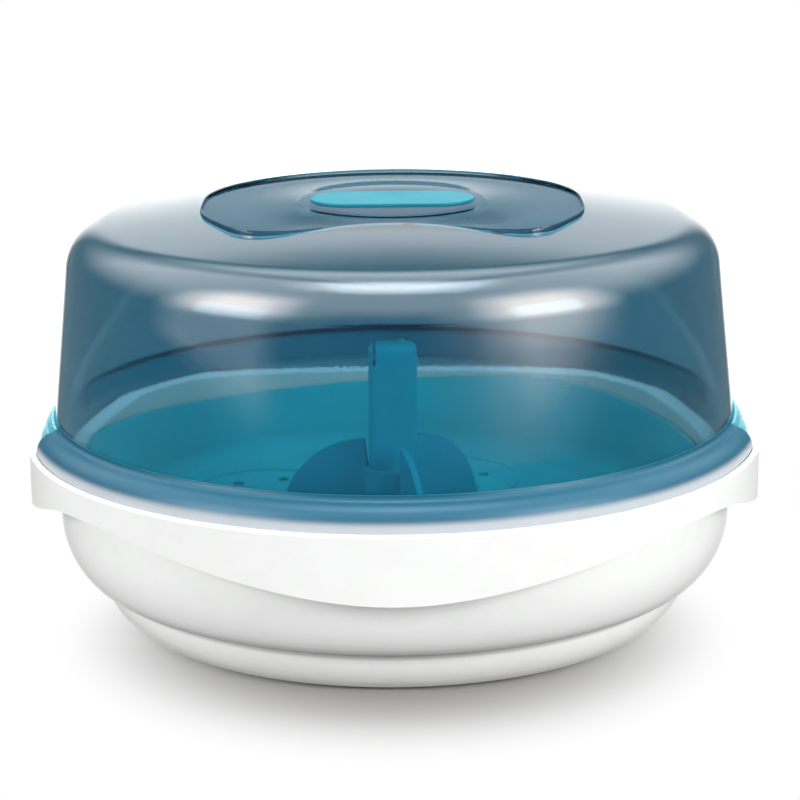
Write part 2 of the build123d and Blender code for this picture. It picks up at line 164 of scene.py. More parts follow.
# %% The glowing sweep
SWEEP_LIGHT = 0.42
ray = nodes.new("ShaderNodeLightPath")
viewed = compute("MAXIMUM", ray.outputs["Is Camera Ray"], ray.outputs["Is Transmission Ray"])
sweep = nodes.new("ShaderNodeEmission")
strength = compute("MULTIPLY_ADD", viewed, 1.0 - SWEEP_LIGHT, SWEEP_LIGHT)
links.new(strength, sweep.inputs["Strength"])
open_air = nodes.new("ShaderNodeBsdfTransparent")
far_look = nodes.new("ShaderNodeMixShader")
links.new(ray.outputs["Is Glossy Ray"], far_look.inputs["Fac"])
links.new(sweep.outputs["Emission"], far_look.inputs[1])
links.new(open_air.outputs["BSDF"], far_look.inputs[2])
whole = nodes.new("ShaderNodeMixShader")
links.new(beyond, whole.inputs["Fac"])
links.new(paper.outputs["BSDF"], whole.inputs[1])
links.new(far_look.outputs["Shader"], whole.inputs[2])
links.new(whole.outputs["Shader"], nodes["Material Output"].inputs["Surface"])
print("the sweep shines at", SWEEP_LIGHT, "on the object and at 1 to the camera")

# %% [markdown]
# ## The room that reflections see
# Gloss and clear plastic show what stands round them, so most of what makes them look real is the
# room. Cards and lamps could be put round the object as meshes, but they would also light it and
# get into the view. Here the room is painted on the world instead, by direction: `turn` is the
# angle round the object, 0 at the camera and 180 behind it, and `rise` is the angle over the
# horizon. The lid's crown shows the wall and the glow behind the object, its shoulder shows the
# ceiling and two soft windows, and its wall shows the dark sides.

# %% Directions in the room
world = bpy.data.worlds.new("white_room")
bpy.context.scene.world = world
world.use_nodes = True
nodes, links = world.node_tree.nodes, world.node_tree.links
split = nodes.new("ShaderNodeSeparateXYZ")
links.new(nodes.new("ShaderNodeTexCoord").outputs["Generated"], split.inputs[0])
aside, depth, upward = split.outputs
turn = compute("MULTIPLY", compute("ARCTAN2", aside, compute("MULTIPLY", depth, -1.0)), 180 / pi)
rise = compute("MULTIPLY", compute("ARCSINE", upward), 180 / pi)
away = compute("ABSOLUTE", turn)
print("world", world.name, "with", len(nodes), "nodes so far")

# %% Walls and ceiling
back_wall = compute("ADD", fade(rise, 28, 20.5, 1.2), fade(rise, 14, 2, 0.6))
back_wall = compute("MULTIPLY", fade(away, 156, 168), back_wall)
back_glow = compute("MULTIPLY", fade(away, 145, 165), fade(rise, 27, 52, 3.2))
sides = compute("MULTIPLY", fade(away, 25, 80), fade(away, 160, 130))
side_glow = compute("MULTIPLY", sides, fade(rise, 5, 46, 4.5))
front_glow = compute("MULTIPLY", fade(away, 80, 25), fade(rise, 8, 45, 3.4))
room = fade(rise, 66, 88, 11.0)
for glow in (back_wall, back_glow, side_glow, front_glow):
    room = compute("ADD", room, glow)
print("room with a ceiling, a back wall, and a glow behind, beside and in front")


# %% Two soft windows
def soft_window(turn_middle, turn_half, rise_middle, rise_half, soft, power):
    """A glowing rectangle on the room's wall, with soft borders; angles in degrees."""
    across = compute("ABSOLUTE", compute("SUBTRACT", turn, turn_middle))
    along = compute("ABSOLUTE", compute("SUBTRACT", rise, rise_middle))
    across = fade(across, turn_half + soft, turn_half - soft)
    along = fade(along, rise_half + soft, rise_half - soft)
    return compute("MULTIPLY", compute("MULTIPLY", across, along), power)


low_edge = fade(rise, -6.5, -0.5)
left_box = soft_window(-60, 17, 30, 18, 14, 16.0)
left_halo = soft_window(-42, 14, 20, 8, 16, 3.0)
right_box = compute("MULTIPLY", soft_window(56, 19, 25, 22, 14, 16.0), low_edge)
right_halo = compute("MULTIPLY", soft_window(38, 16, 15, 11, 16, 4.5), low_edge)
for glow in (left_box, right_box, left_halo, right_halo):
    room = compute("ADD", room, glow)
print("windows at -60 and 56 degrees, each with a halo towards the camera")

# %% [markdown]
# ## White cards and the three kinds of rays
# Low cards to the left and right of the camera put a pale haze on the lid's wall, as the photograph
# shows. Then the Light Path node tells the rays apart: reflections see the room, the view straight
# from the camera or through the lid sees plain white, and all else gets one soft level of light, so
# the windows don't light the object twice. The windows are a little warm, because the tinted lid
# cools them again.

# %% Low white cards beside the camera
ROOM_BASE = 0.08
left_card = compute("MULTIPLY", fade(turn, -92, -74), fade(turn, -36, -50))
left_rise = compute("MULTIPLY", fade(rise, -4.4, -2.7, 1.8), fade(rise, 24, 8))
right_card = compute("MULTIPLY", fade(turn, 38, 50), fade(turn, 77, 56))
right_rise = compute("MULTIPLY", fade(rise, -4.2, -2.7, 1.5), fade(rise, 22, 6))
left_card = compute("MULTIPLY", left_card, left_rise)
right_card = compute("MULTIPLY", right_card, right_rise)
room = compute("ADD", compute("ADD", room, ROOM_BASE), compute("ADD", left_card, right_card))
print("cards from 36 to 92 degrees left and 38 to 77 degrees right")

# %% What each kind of ray sees
AMBIENT = 0.40
ray = nodes.new("ShaderNodeLightPath")
bounced = compute("MULTIPLY", ray.outputs["Is Glossy Ray"], ray.outputs["Is Reflection Ray"])
seen = compute("MAXIMUM", ray.outputs["Is Camera Ray"], ray.outputs["Is Transmission Ray"])
shone = compute("MULTIPLY", compute("SUBTRACT", 1.0, bounced), AMBIENT)
lit = compute("ADD", compute("MULTIPLY", room, bounced), shone)
level = compute("ADD", compute("MULTIPLY", lit, compute("SUBTRACT", 1.0, seen)), seen)
links.new(level, nodes["Background"].inputs["Strength"])
print("world with", len(nodes), "nodes, soft light at", AMBIENT)

# %% Warm windows
warmth = compute("MINIMUM", compute("MULTIPLY", compute("ADD", left_box, right_box), 0.10), 1.0)
lamp_colour = nodes.new("ShaderNodeMix")
lamp_colour.data_type = "RGBA"
lamp_colour.inputs["A"].default_value = (1, 1, 1, 1)
lamp_colour.inputs["B"].default_value = (1, 0.88, 0.80, 1)
links.new(compute("MULTIPLY", warmth, bounced), lamp_colour.inputs["Factor"])
links.new(lamp_colour.outputs["Result"], nodes["Background"].inputs["Color"])
bpy.context.scene.view_settings.view_transform = "Standard"
print("window colour", tuple(round(v, 2) for v in lamp_colour.inputs["B"].default_value[:3]))

# %% [markdown]
# ## Soft boxes
# Three area lights light the surfaces themselves: a key from the right, a fill from the left and a
# weak one above. Their size makes the shadows soft. Being rectangles, they would show as hard
# patches in the clear lid, so they are hidden from reflections, which have the painted windows.

# %% Key, fill and top light
BOX_SIZE = (0.7, 0.6)


def soft_box(name, place, target, watts):
    """A rectangular area light that looks at a target and stays out of the reflections."""
    data = bpy.data.lights.new(name, "AREA")
    data.shape = "RECTANGLE"
    data.size, data.size_y = BOX_SIZE
    data.energy = watts
    lamp = bpy.data.objects.new(name, data)
    bpy.context.scene.collection.objects.link(lamp)
    facing = Vector(target) - Vector(place)
    aim = facing.to_track_quat("-Z", "Y").to_matrix().to_4x4()
    lamp.matrix_world = Matrix.Translation(place) @ aim
    lamp.visible_glossy = False
    print("light", name, "of", watts, "W at", place)


soft_box("key_right", (1.2, -0.9, 0.6), (0, 0, 0.07), 19)
soft_box("fill_left", (-1.2, -0.8, 0.55), (0, 0, 0.07), 14)
soft_box("top", (0.05, 0.0, 1.3), (0, 0, 0.05), 10)

# %% [markdown]
# ## Growing a round piece ring by ring
# A lathe is the natural way to make a dome: a ring of points is extruded again and again, and each
# new ring is laid at its own radius and height. Here a ring may also leave the round: its radius is
# asked for at every angle, so that the same steps can follow the kidney-shaped panel on the crown.
# The last ring shrinks to a point and is merged, so the pole is closed. A Screw modifier would be
# shorter for a plain round dome, but it can't leave the round.

# %% Ring tools
SEGMENTS = 240
EDGE = 0.067


def start_ring(name, radius, height):
    """A circle in edit mode, all selected, whose object stays at the origin."""
    bpy.ops.object.select_all(action="DESELECT")
    bpy.ops.mesh.primitive_circle_add(
        vertices=SEGMENTS, radius=radius, fill_type="NOTHING", location=(0, 0, 0)
    )
    piece = bpy.context.object
    piece.name = name
    piece.data.name = name
    bpy.ops.object.mode_set(mode="EDIT")
    bpy.ops.mesh.select_all(action="SELECT")
    lay_ring(piece, radius, height)
    return piece


def lay_ring(piece, radius, height):
    """Move the selected ring; radius and height are numbers or functions of the angle."""
    mesh = bmesh.from_edit_mesh(piece.data)
    for point in mesh.verts:
        if point.select:
            angle = atan2(point.co.y, point.co.x)
            reach = radius(angle) if callable(radius) else radius
            level = height(angle, reach) if callable(height) else height
            point.co = (reach * cos(angle), reach * sin(angle), level)
    bmesh.update_edit_mesh(piece.data)


def grow(piece, rings):
    """Extrude the selected ring through a list of (radius, height) rings."""
    for radius, height in rings:
        bpy.ops.mesh.extrude_region_move()
        lay_ring(piece, radius, height)


def close_pole(piece):
    """Merge the last small ring to one point."""
    bpy.ops.mesh.merge(type="CENTER")
    bpy.ops.object.mode_set(mode="OBJECT")
    print(piece.name, "grown to", len(piece.data.polygons), "faces")


print("every ring has", SEGMENTS, "points; the collar's edge is at", EDGE)


# %% Finishing tools
def select_open_edges(piece):
    """Select every edge that only one face uses."""
    bpy.ops.object.mode_set(mode="EDIT")
    bpy.ops.mesh.select_all(action="DESELECT")
    bpy.ops.mesh.select_mode(type="EDGE")
    mesh = bmesh.from_edit_mesh(piece.data)
    for edge in mesh.edges:
        edge.select_set(edge.is_boundary)
    bmesh.update_edit_mesh(piece.data)


def finish_piece(piece, angle=35):
    """Turn all faces outwards and shade smooth up to an angle."""
    bpy.ops.object.mode_set(mode="EDIT")
    bpy.ops.mesh.select_all(action="SELECT")
    bpy.ops.mesh.normals_make_consistent(inside=False)
    bpy.ops.object.mode_set(mode="OBJECT")
    bpy.ops.object.select_all(action="DESELECT")
    piece.select_set(True)
    bpy.context.view_layer.objects.active = piece
    bpy.ops.object.shade_smooth_by_angle(angle=radians(angle))
    print(piece.name, len(piece.data.vertices), "points", len(piece.data.polygons), "faces")


# %% [markdown]
# ## The dome
# The real lid is one thin moulding: a nearly flat crown, a tight shoulder, a wall that leans in by
# six degrees, and a pressed panel on top that says where the label goes. Clear plastic shows every
# unevenness of the surface it reflects in, so the dome is made again here from even rings: the
# outside up to the pole, the inside in the same way, and both joined at the foot. Its section is
# two arcs and a line: the crown is an arc of 760 mm radius, the shoulder one of 18 mm that touches
# the crown and the wall, so where they meet is worked out and not guessed.

# %% The dome's sizes
LID_TOP = EDGE + 0.0906
LID_WALL = 0.0022
DRAFT = radians(6.05)
CROWN = 0.760
SHOULDER = 0.0178
FOOT = 0.1290
ROLL = 0.0079
ROLL_HEIGHT = EDGE + 0.0010
ROLL_TOP = ROLL_HEIGHT + ROLL
DECK = EDGE - 0.0015
PANEL = LID_TOP - 0.0033
BEAD_HEIGHT = 0.0010
BEAD_WIDTH = 0.0009
PAD_RADIUS = 0.036
PAD_OFFSET = 0.004
PAD_HEIGHT = 0.0004
print("the crown would peak at", round(LID_TOP, 4), "without the panel; wall", LID_WALL)

# %% Where crown, shoulder and wall meet
WALL_STEPS = 5
SHOULDER_STEPS = 14
CROWN_STEPS = 4
crown_centre = LID_TOP - CROWN
wall_distance = FOOT * cos(DRAFT) + ROLL_TOP * sin(DRAFT)
reach_left = wall_distance - SHOULDER - crown_centre * sin(DRAFT)
crown_turn = asin(reach_left / (CROWN - SHOULDER)) - DRAFT
shoulder_x = (CROWN - SHOULDER) * sin(crown_turn)
shoulder_z = crown_centre + (CROWN - SHOULDER) * cos(crown_turn)
print("shoulder centre", round(shoulder_x, 4), round(shoulder_z, 4))
print("the crown ends at a turn of", round(degrees(crown_turn), 2), "degrees")


def crown_level(radius, inset=0.0):
    """Height of the crown at a radius."""
    return crown_centre + sqrt((CROWN - inset) ** 2 - radius**2)


def dome_rings(inset, crown_end):
    """Rings of the wall, the shoulder and the crown, moved in by inset, up to a crown radius."""
    rings = []
    for step in range(SHOULDER_STEPS + 1):
        lean = DRAFT + (pi / 2 - crown_turn - DRAFT) * step / SHOULDER_STEPS
        radius = SHOULDER - inset
        rings.append((shoulder_x + radius * cos(lean), shoulder_z + radius * sin(lean)))
    foot_x, foot_z = FOOT - inset / cos(DRAFT), ROLL_TOP
    rise_x, rise_z = rings[0][0] - foot_x, rings[0][1] - foot_z
    shares = [step / WALL_STEPS for step in range(WALL_STEPS)]
    wall = [(foot_x + rise_x * share, foot_z + rise_z * share) for share in shares]
    first = (CROWN - inset) * sin(crown_turn)
    for step in range(1, CROWN_STEPS + 1):
        radius = first + (crown_end - first) * step / CROWN_STEPS
        rings.append((radius, crown_level(radius, inset)))
    return wall + rings


# %% [markdown]
# ## The pressed panel
# On the real lid a kidney-shaped field is pressed into the crown, with a thin bead round it and a
# low round pad for the badge. Cutting it out with a boolean would leave long thin faces that show
# in the gloss. So its outline is read from the engineering lid, by rays sent out from the axis just
# above the panel's floor, and the rings of the crown turn into rings of that outline step by step.
# The readings are averaged with their neighbours, which takes out the facets of the mesh.

# %% The panel's outline
READ_HEIGHT = PANEL + 0.0006
cad_lid = frame["nodes"]["lid_dome"]
panel_reach = []
for index in range(SEGMENTS):
    angle = 2 * pi * index / SEGMENTS
    found = cad_lid.ray_cast(Vector((0, 0, READ_HEIGHT)), Vector((cos(angle), sin(angle), 0)))
    panel_reach.append(found[1].xy.length)
for smoothing in range(10):
    wrapped = panel_reach[-1:] + panel_reach + panel_reach[:1]
    neighbours = zip(wrapped, wrapped[1:], wrapped[2:])
    panel_reach = [(before + 2 * here + after) / 4 for before, here, after in neighbours]
print("panel reach from", round(min(panel_reach), 4), "to", round(max(panel_reach), 4))


# %% Rings round the panel
def panel_edge(angle):
    """Distance from the axis to the panel's outline."""
    return panel_reach[round(angle / (2 * pi) * SEGMENTS) % SEGMENTS]


def panel_floor(angle, radius):
    """The panel is flat, but never above the crown."""
    return min(PANEL, crown_level(radius))


def between(share, start):
    """A ring part of the way from a circle on the crown to the bead."""
    return lambda angle: start + (panel_edge(angle) + BEAD_WIDTH - start) * share


def beside(gap):
    """A ring at a distance outside the panel's outline."""
    return lambda angle: panel_edge(angle) + gap


def halfway(angle):
    """A ring on the panel's floor, between its outline and the pad."""
    return panel_edge(angle) * 0.6 + pad_ring(0.002)(angle) * 0.4


def pad_ring(grown):
    """The badge's round pad, a little behind the axis, grown all round."""
    radius = PAD_RADIUS + grown
    return lambda angle: PAD_OFFSET * sin(angle) + sqrt(radius**2 - (PAD_OFFSET * cos(angle)) ** 2)


print("the panel reaches", round(panel_edge(-pi / 2), 4), "to the front")

# %% [markdown]
# ## Outside, inside and the lip
# The foot of the lid is a short lip that reaches down inside the collar, where the real collar's
# deck is dished by two crossing troughs. The lip follows that dish at a small gap, or it would cut
# into the collar. Then the outside is grown from the lip to the pole, and the inside from the lip to
# the pole at the wall's thickness. The inside follows the crown too: under a flat ceiling, light is
# caught between the two faces, and the crown turns brown from above.

# %% The lip's lower edge
LIP_GAP = 0.0005
DISH_DEPTH = 0.007
DISH_HALF_X, DISH_HALF_Y = 0.095, 0.070


def trough(distance, reach, dip):
    """Height of one round trough of the dished deck, above its lowest line."""
    radius = (reach**2 + dip**2) / (2 * dip)
    return radius - sqrt(radius**2 - distance**2)


def lip_bottom(angle, radius):
    """The lip reaches into the dished deck and stays half a millimetre above it."""
    x, y = radius * cos(angle), radius * sin(angle)
    lowest = EDGE - DISH_DEPTH + LIP_GAP
    across = lowest + trough(x, DISH_HALF_X, DISH_DEPTH)
    along = lowest + trough(y, DISH_HALF_Y, DISH_DEPTH)
    return min(DECK, across, along)


print("the lip's lowest point at the front", round(lip_bottom(-pi / 2, FOOT), 4))

# %% Outside, up to the bead
CROWN_END = 0.100
BLEND_STEPS = 6
bead_half = BEAD_WIDTH / 2
bead_middle = PANEL + BEAD_HEIGHT - bead_half
lid_shell = start_ring("lid_shell", FOOT, lip_bottom)
grow(lid_shell, [(FOOT, DECK)])
grow(lid_shell, dome_rings(0.0, CROWN_END))
for step in range(1, BLEND_STEPS + 1):
    blended = between(step / BLEND_STEPS, CROWN_END)
    grow(lid_shell, [(blended, lambda angle, radius: crown_level(radius))])
for step in range(7):
    lean = pi * step / 6
    bead = beside(bead_half + bead_half * cos(lean))
    grow(lid_shell, [(bead, bead_middle + bead_half * sin(lean))])
print("bead of", BEAD_WIDTH, "round the panel")

# %% Outside, panel and pad
PAD_RINGS = ((0.0008, 0.0), (0.0003, 0.3), (-0.0003, 0.8), (-0.0010, 1.0))
POLE_RINGS = (0.026, 0.018, 0.010, 0.003)
grow(lid_shell, [(beside(0.0), panel_floor)])
grow(lid_shell, [(halfway, panel_floor)])
for grown, share in PAD_RINGS:
    grow(lid_shell, [(pad_ring(grown), PANEL + PAD_HEIGHT * share)])
grow(lid_shell, [(radius, PANEL + PAD_HEIGHT) for radius in POLE_RINGS])
close_pole(lid_shell)

# %% Inside of the dome
panel_underside = PANEL - LID_WALL
STEP_ROUND = 0.0004


def inner_crown(angle, radius):
    """The inside follows the crown at the lid's wall, as in a real moulding."""
    return crown_level(radius, LID_WALL)


def inward(share, start):
    """A ring part of the way from a circle under the crown to the panel's step."""
    return lambda angle: start + (panel_edge(angle) + LID_WALL - start) * share


inside = start_ring("lid_inside", FOOT - LID_WALL, lip_bottom)
grow(inside, [(FOOT - LID_WALL, DECK)])
grow(inside, dome_rings(LID_WALL, CROWN_END))
for step in range(1, BLEND_STEPS + 1):
    grow(inside, [(inward(step / BLEND_STEPS, CROWN_END), inner_crown)])
grow(inside, [(beside(LID_WALL), panel_underside + STEP_ROUND)])
grow(inside, [(beside(LID_WALL - STEP_ROUND), panel_underside)])
for share in (0.97, 0.75, 0.5, 0.25):
    grow(inside, [(lambda angle: panel_edge(angle) * share, panel_underside)])
grow(inside, [(0.004, panel_underside)])
close_pole(inside)

# %% Join outside and inside at the foot
bpy.ops.object.select_all(action="DESELECT")
inside.select_set(True)
lid_shell.select_set(True)
bpy.context.view_layer.objects.active = lid_shell
bpy.ops.object.join()
select_open_edges(lid_shell)
bpy.ops.mesh.bridge_edge_loops()
finish_piece(lid_shell)
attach(lid_shell, "lid")
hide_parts("lid_dome")

# %% [markdown]
# ## The rolled edge
# Round the foot the wall turns out into a rounded edge that stands on the white collar. Seen from
# the front it isn't clear: the white plastic right under it makes it look milky, blue above and
# almost white along its rim. Real refraction through such a thin curl comes out noisy and depends
# on the smallest gap to the collar. A thin solid ring with that gradient painted on gives the same
# look from all sides: the blue is the lid's tint, the white is painted light from the collar seen
# through it. Its section is a hollow arc that leaves the wall and a round one that ends on the deck.

# %% Section of the rolled edge
FILLET_STEPS = 8
CURL_STEPS = 14
SKIN = 0.00025
FOOT_ROUND = 0.0030
out = ROLL * sin(DRAFT) + FOOT_ROUND
up = sqrt((ROLL + FOOT_ROUND) ** 2 - out**2)
fillet_x = FOOT + out * cos(DRAFT) - up * sin(DRAFT)
fillet_z = ROLL_HEIGHT + out * sin(DRAFT) + up * cos(DRAFT)
fillet_turn = atan2(fillet_z - ROLL_HEIGHT, fillet_x - FOOT)
edge_rings = []
for step in range(FILLET_STEPS + 1):
    lean = pi + DRAFT + (fillet_turn - DRAFT) * step / FILLET_STEPS
    radius = FOOT_ROUND - SKIN
    edge_rings.append((fillet_x + radius * cos(lean), fillet_z + radius * sin(lean)))
for step in range(1, CURL_STEPS + 1):
    lean = fillet_turn * (1 - step / CURL_STEPS)
    radius = ROLL + SKIN
    edge_rings.append((FOOT + radius * cos(lean), ROLL_HEIGHT + radius * sin(lean)))
edge_rings += [(FOOT + ROLL + SKIN, DECK + 0.0002), (FOOT + 0.0001, DECK + 0.0002)]
wall_touch = FOOT - (fillet_z - ROLL_TOP) * sin(DRAFT) + 0.0001
print("section of", len(edge_rings), "points, out to", round(max(r for r, z in edge_rings), 4))

# %% Ring of the rolled edge
lid_edge = start_ring("lid_edge", FOOT + 0.0001, DECK + 0.0008)
grow(lid_edge, [(FOOT + 0.0001, ROLL_TOP), (wall_touch, edge_rings[0][1])])
grow(lid_edge, edge_rings)
select_open_edges(lid_edge)
bpy.ops.mesh.bridge_edge_loops()
print(lid_edge.name, "closed on itself, before the gaps")

# %% [markdown]
# ## Gaps for the clips
# The two clips hook over the lid beside the rolled edge, which is interrupted there. The ring is cut
# with two upright planes, the faces between them are deleted, and the open ends are filled. A
# boolean would do as well, but two cuts leave cleaner ends.

# %% Gaps for the clips
NOTCH_HALF = 0.0355
for side_y in (-NOTCH_HALF, NOTCH_HALF):
    bpy.ops.mesh.select_all(action="SELECT")
    bpy.ops.mesh.bisect(plane_co=(0, side_y, 0), plane_no=(0, 1, 0))
bpy.ops.mesh.select_all(action="DESELECT")
bpy.ops.mesh.select_mode(type="FACE")
mesh = bmesh.from_edit_mesh(lid_edge.data)
for face in mesh.faces:
    face.select_set(abs(face.calc_center_median().y) < NOTCH_HALF)
bmesh.update_edit_mesh(lid_edge.data)
bpy.ops.mesh.delete(type="FACE")
select_open_edges(lid_edge)
bpy.ops.mesh.fill_holes(sides=0)
finish_piece(lid_edge)
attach(lid_edge, "lid")

# %% [markdown]
# ## Finishes
# Everything here is moulded plastic, so the finishes differ by how light goes in. The white bowl is
# opaque with a soft gloss, the rack is a satin teal, and the lid is clear and tinted. Moulded
# plastic is never quite even: it has a faint waviness and tiny scuffs that break up the highlights.
# An image of scuffs would need unwrapping and would repeat. Here noise on the object's own
# coordinates makes them, in one node group that all the finishes share.

# %% Moulded surface group
def moulded_surface_group():
    """Slow waviness and fine grain as a height, with a mask of faint scuffs."""
    group = bpy.data.node_groups.new("moulded_surface", "ShaderNodeTree")
    amounts = {"Wave Size": 9.0, "Wave Amount": 1.0, "Grain Size": 900.0, "Grain Amount": 0.2}
    for name, value in amounts.items():
        socket = group.interface.new_socket(name, in_out="INPUT", socket_type="NodeSocketFloat")
        socket.default_value = value
    group.interface.new_socket("Height", in_out="OUTPUT", socket_type="NodeSocketFloat")
    group.interface.new_socket("Scuff", in_out="OUTPUT", socket_type="NodeSocketFloat")
    nodes, links = group.nodes, group.links
    given = nodes.new("NodeGroupInput")
    out = nodes.new("NodeGroupOutput")
    place = nodes.new("ShaderNodeTexCoord")
    wave = nodes.new("ShaderNodeTexNoise")
    wave.inputs["Detail"].default_value = 1.0
    grain = nodes.new("ShaderNodeTexNoise")
    grain.inputs["Detail"].default_value = 3.0
    for texture, size in ((wave, "Wave Size"), (grain, "Grain Size")):
        links.new(place.outputs["Object"], texture.inputs["Vector"])
        links.new(given.outputs[size], texture.inputs["Scale"])
    tall = nodes.new("ShaderNodeMath")
    tall.operation = "MULTIPLY"
    links.new(wave.outputs["Fac"], tall.inputs[0])
    links.new(given.outputs["Wave Amount"], tall.inputs[1])
    fine = nodes.new("ShaderNodeMath")
    fine.operation = "MULTIPLY_ADD"
    links.new(grain.outputs["Fac"], fine.inputs[0])
    links.new(given.outputs["Grain Amount"], fine.inputs[1])
    links.new(tall.outputs[0], fine.inputs[2])
    links.new(fine.outputs[0], out.inputs["Height"])
    scuffs = nodes.new("ShaderNodeTexNoise")
    scuffs.inputs["Scale"].default_value = 60.0
    scuffs.inputs["Detail"].default_value = 6.0
    scuffs.inputs["Roughness"].default_value = 0.7
    links.new(place.outputs["Object"], scuffs.inputs["Vector"])
    worn = nodes.new("ShaderNodeMapRange")
    worn.inputs["From Min"].default_value = 0.45
    worn.inputs["From Max"].default_value = 0.8
    links.new(scuffs.outputs["Fac"], worn.inputs["Value"])
    links.new(worn.outputs["Result"], out.inputs["Scuff"])
    return group


moulded_surface = moulded_surface_group()
print("node group", moulded_surface.name, "with", len(moulded_surface.nodes), "nodes")


# %% [markdown]
# ## Opaque plastics
# The bowl and the collar are white with a soft gloss. The rack is a satin teal: its tray is the
# greenest, its column and fins are deeper, as the photograph shows them through the lid. The clips
# are paler and glossier, and the badge is darker. They differ by numbers only, so one function makes
# them all: a colour, its scuffed colour, how rough both are, and how strongly the surface waves.

# %% Plastic finish
RELIEF_DEPTH = 0.0004


def plastic(name, colour, scuffed, roughness, scuffed_roughness, bump, shine=0.5):
    """A moulded plastic whose colour and gloss drift a little with the scuffs."""
    material = bpy.data.materials.new(name)
    material.use_nodes = True
    nodes, links = material.node_tree.nodes, material.node_tree.links
    shader = nodes["Principled BSDF"]
    surface = nodes.new("ShaderNodeGroup")
    surface.node_tree = moulded_surface
    tint = nodes.new("ShaderNodeMix")
    tint.data_type = "RGBA"
    tint.inputs["A"].default_value = (*colour, 1)
    tint.inputs["B"].default_value = (*scuffed, 1)
    links.new(surface.outputs["Scuff"], tint.inputs["Factor"])
    links.new(tint.outputs["Result"], shader.inputs["Base Color"])
    gloss = nodes.new("ShaderNodeMapRange")
    gloss.inputs["To Min"].default_value = roughness
    gloss.inputs["To Max"].default_value = scuffed_roughness
    links.new(surface.outputs["Scuff"], gloss.inputs["Value"])
    links.new(gloss.outputs["Result"], shader.inputs["Roughness"])
    relief = nodes.new("ShaderNodeBump")
    relief.inputs["Strength"].default_value = bump
    relief.inputs["Distance"].default_value = RELIEF_DEPTH
    links.new(surface.outputs["Height"], relief.inputs["Height"])
    links.new(relief.outputs["Normal"], shader.inputs["Normal"])
    shader.inputs["IOR"].default_value = 1.5
    shader.inputs["Specular IOR Level"].default_value = shine
    print("finish", name, "with", len(nodes), "nodes")
    return material


# %% White and teal
WHITE = ((0.90, 0.91, 0.90), (0.86, 0.87, 0.86), 0.28, 0.36, 0.25)
white_bowl = plastic("white_bowl", *WHITE)
white_collar = plastic("white_collar", *WHITE)
teal_clip = plastic("teal_clip", (0.11, 0.47, 0.54), (0.10, 0.42, 0.49), 0.25, 0.35, 0.3)
tray_teal = plastic("tray_teal", (0.035, 0.46, 0.50), (0.03, 0.43, 0.47), 0.45, 0.55, 0.05, 0.3)
column_teal = plastic(
    "column_teal", (0.012, 0.37, 0.46), (0.010, 0.34, 0.43), 0.45, 0.55, 0.08, shine=0.2
)
hub_teal = plastic("hub_teal", (0.009, 0.36, 0.46), (0.008, 0.33, 0.43), 0.5, 0.6, 0.08, 0.2)
badge_teal = plastic("badge_teal", (0.010, 0.22, 0.29), (0.008, 0.20, 0.26), 0.45, 0.55, 0.2, 0.15)

# %% [markdown]
# ## Painted shade
# Where two tiers of the bowl meet, the real one shows a thin grey line of shade, and the wall inside
# the collar lies in the rack's shade. The bright studio washes most of that shade out. It could be
# painted by hand as a vertex colour. Here a colour ramp follows a measured place, the height or the
# distance from the middle axis, and paints that shade into the finish's colour there. So the painted
# shade stays with the piece from every side and at every pose.


# %% Shading by place
def height_and_reach(material):
    """The height of a surface point, and its distance from the middle axis."""
    nodes, links = material.node_tree.nodes, material.node_tree.links
    place = nodes.new("ShaderNodeTexCoord").outputs["Object"]
    apart = nodes.new("ShaderNodeSeparateXYZ")
    links.new(place, apart.inputs[0])
    flat = nodes.new("ShaderNodeVectorMath")
    flat.operation = "MULTIPLY"
    flat.inputs[1].default_value = (1, 1, 0)
    links.new(place, flat.inputs[0])
    reach = nodes.new("ShaderNodeVectorMath")
    reach.operation = "LENGTH"
    links.new(flat.outputs["Vector"], reach.inputs[0])
    return apart.outputs["Z"], reach.outputs["Value"]


def shade_along(material, measure, low, high, stops):
    """Multiply a material's colour by a ramp of colours along a measure of the place, to paint shade
    and light into it.
    """
    nodes, links = material.node_tree.nodes, material.node_tree.links
    climb = nodes.new("ShaderNodeMapRange")
    climb.inputs["From Min"].default_value = low
    climb.inputs["From Max"].default_value = high
    links.new(measure, climb.inputs["Value"])
    bands = nodes.new("ShaderNodeValToRGB")
    bands.color_ramp.interpolation = "EASE"
    first, last = bands.color_ramp.elements
    first.position, first.color = stops[0][0], (*stops[0][1], 1)
    last.position, last.color = stops[-1][0], (*stops[-1][1], 1)
    for position, colour in stops[1:-1]:
        bands.color_ramp.elements.new(position).color = (*colour, 1)
    links.new(climb.outputs["Result"], bands.inputs["Fac"])
    base_colour = nodes["Principled BSDF"].inputs["Base Color"]
    shaded = nodes.new("ShaderNodeMix")
    shaded.data_type = "RGBA"
    shaded.blend_type = "MULTIPLY"
    shaded.inputs["Factor"].default_value = 1.0
    links.new(base_colour.links[0].from_socket, shaded.inputs["A"])
    links.new(bands.outputs["Color"], shaded.inputs["B"])
    links.new(shaded.outputs["Result"], base_colour)
    print(material.name, "shaded between", round(low, 4), "and", round(high, 4))


# %% Shaded grooves of the bowl
GROOVE_TOP = 0.024
# Painted shade: darker towards the foot and in a band where the tiers meet, fading above it.
groove_shade_levels = (
    (0.0, 0.75), (0.125, 0.92), (0.21, 1.0), (0.56, 1.0), (0.62, 0.72), (0.68, 0.38),
    (0.725, 0.38), (0.80, 0.74), (0.89, 0.94), (0.99, 1.0),
)
groove_shades = [(share, (level, level, level)) for share, level in groove_shade_levels]
height, reach = height_and_reach(white_bowl)
shade_along(white_bowl, height, 0.0, GROOVE_TOP, groove_shades)
print("darkest line of the bowl at", round(0.70 * GROOVE_TOP, 4))

